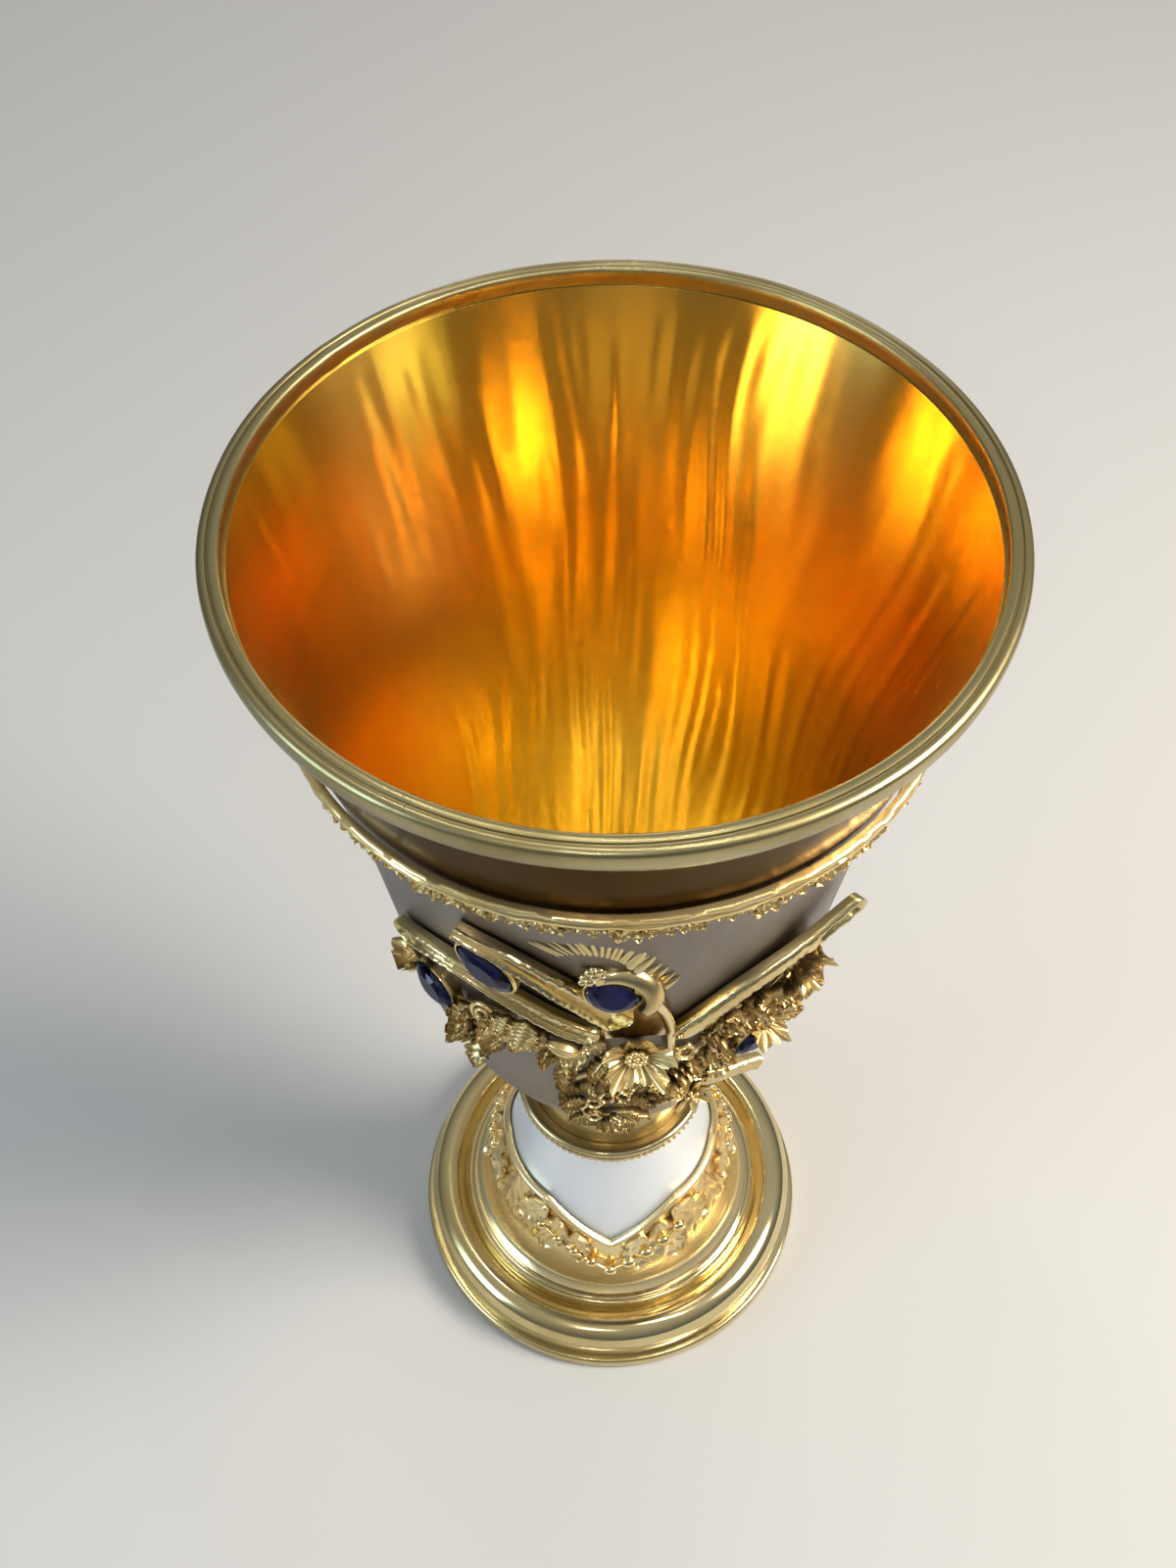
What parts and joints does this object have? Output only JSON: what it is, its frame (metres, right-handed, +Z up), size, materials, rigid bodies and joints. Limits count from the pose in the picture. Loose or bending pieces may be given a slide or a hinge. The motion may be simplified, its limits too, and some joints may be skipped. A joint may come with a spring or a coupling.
{
  "type": "ceremonial goblet",
  "caption": "Footed silver and gilt ceremonial goblet: flared cup with a gilt inside, applied straps, leaves, rosettes and blue stones, on a stepped round foot.",
  "frame": {"origin": "centre of the foot's underside, on the floor", "axes": "+Z up along the cup's axis, -Y towards the ornament's front side"},
  "size_m": [0.08, 0.08, 0.1587],
  "materials": {
    "satin_silver": "satin oxidised silver outside, polished gilt inside and above the leaf collar",
    "white_silver": "frosted white silver",
    "polished_gilt": "polished gilding on silver",
    "cast_gilt": "cast gilt leaves, darker in the hollows",
    "blue_stone": "faceted dark blue stone"
  },
  "bodies": {
    "root": {"basket_back": "cast_gilt", "basket_front": "cast_gilt", "bead_wire_1": "polished_gilt", "bead_wire_2": "polished_gilt", "bead_wire_3": "polished_gilt", "bezel_left_back": "polished_gilt", "bezel_left_front": "polished_gilt", "bezel_right_back": "polished_gilt", "bezel_right_front": "polished_gilt", "bezel_upper_back": "polished_gilt", "bezel_upper_front": "polished_gilt", "bowl": "satin_silver", "falling_strap_back": "polished_gilt", "falling_strap_front": "polished_gilt", "feather_fan_back": "cast_gilt", "feather_fan_front": "cast_gilt", "foot_base": "polished_gilt", "foot_dome": "white_silver", "leaf_a_back": "cast_gilt", "leaf_a_front": "cast_gilt", "leaf_b_back": "cast_gilt", "leaf_b_front": "cast_gilt", "leaf_c_back": "cast_gilt", "leaf_c_front": "cast_gilt", "leaf_collar": "cast_gilt", "leaf_d_back": "cast_gilt", "leaf_d_front": "cast_gilt", "leaf_e_back": "cast_gilt", "leaf_e_front": "cast_gilt", "leaf_f_back": "cast_gilt", "leaf_f_front": "cast_gilt", "leaf_skirt": "cast_gilt", "lower_strap_back": "polished_gilt", "lower_strap_front": "polished_gilt", "rim_ring": "polished_gilt", "rising_strap_back": "polished_gilt", "rising_strap_front": "polished_gilt", "rosette_low_back": "cast_gilt", "rosette_low_front": "cast_gilt", "rosette_main_back": "cast_gilt", "rosette_main_front": "cast_gilt", "rosette_right_back": "cast_gilt", "rosette_right_front": "cast_gilt", "stem": "polished_gilt", "stem_ring": "polished_gilt", "stone_arch_back": "polished_gilt", "stone_arch_front": "polished_gilt", "stone_left_back": "blue_stone", "stone_left_front": "blue_stone", "stone_middle_back": "blue_stone", "stone_middle_front": "blue_stone", "stone_right_back": "blue_stone", "stone_right_front": "blue_stone", "stone_upper_back": "blue_stone", "stone_upper_front": "blue_stone", "upper_strap_back": "polished_gilt", "upper_strap_front": "polished_gilt"}
  },
  "joints": []
}
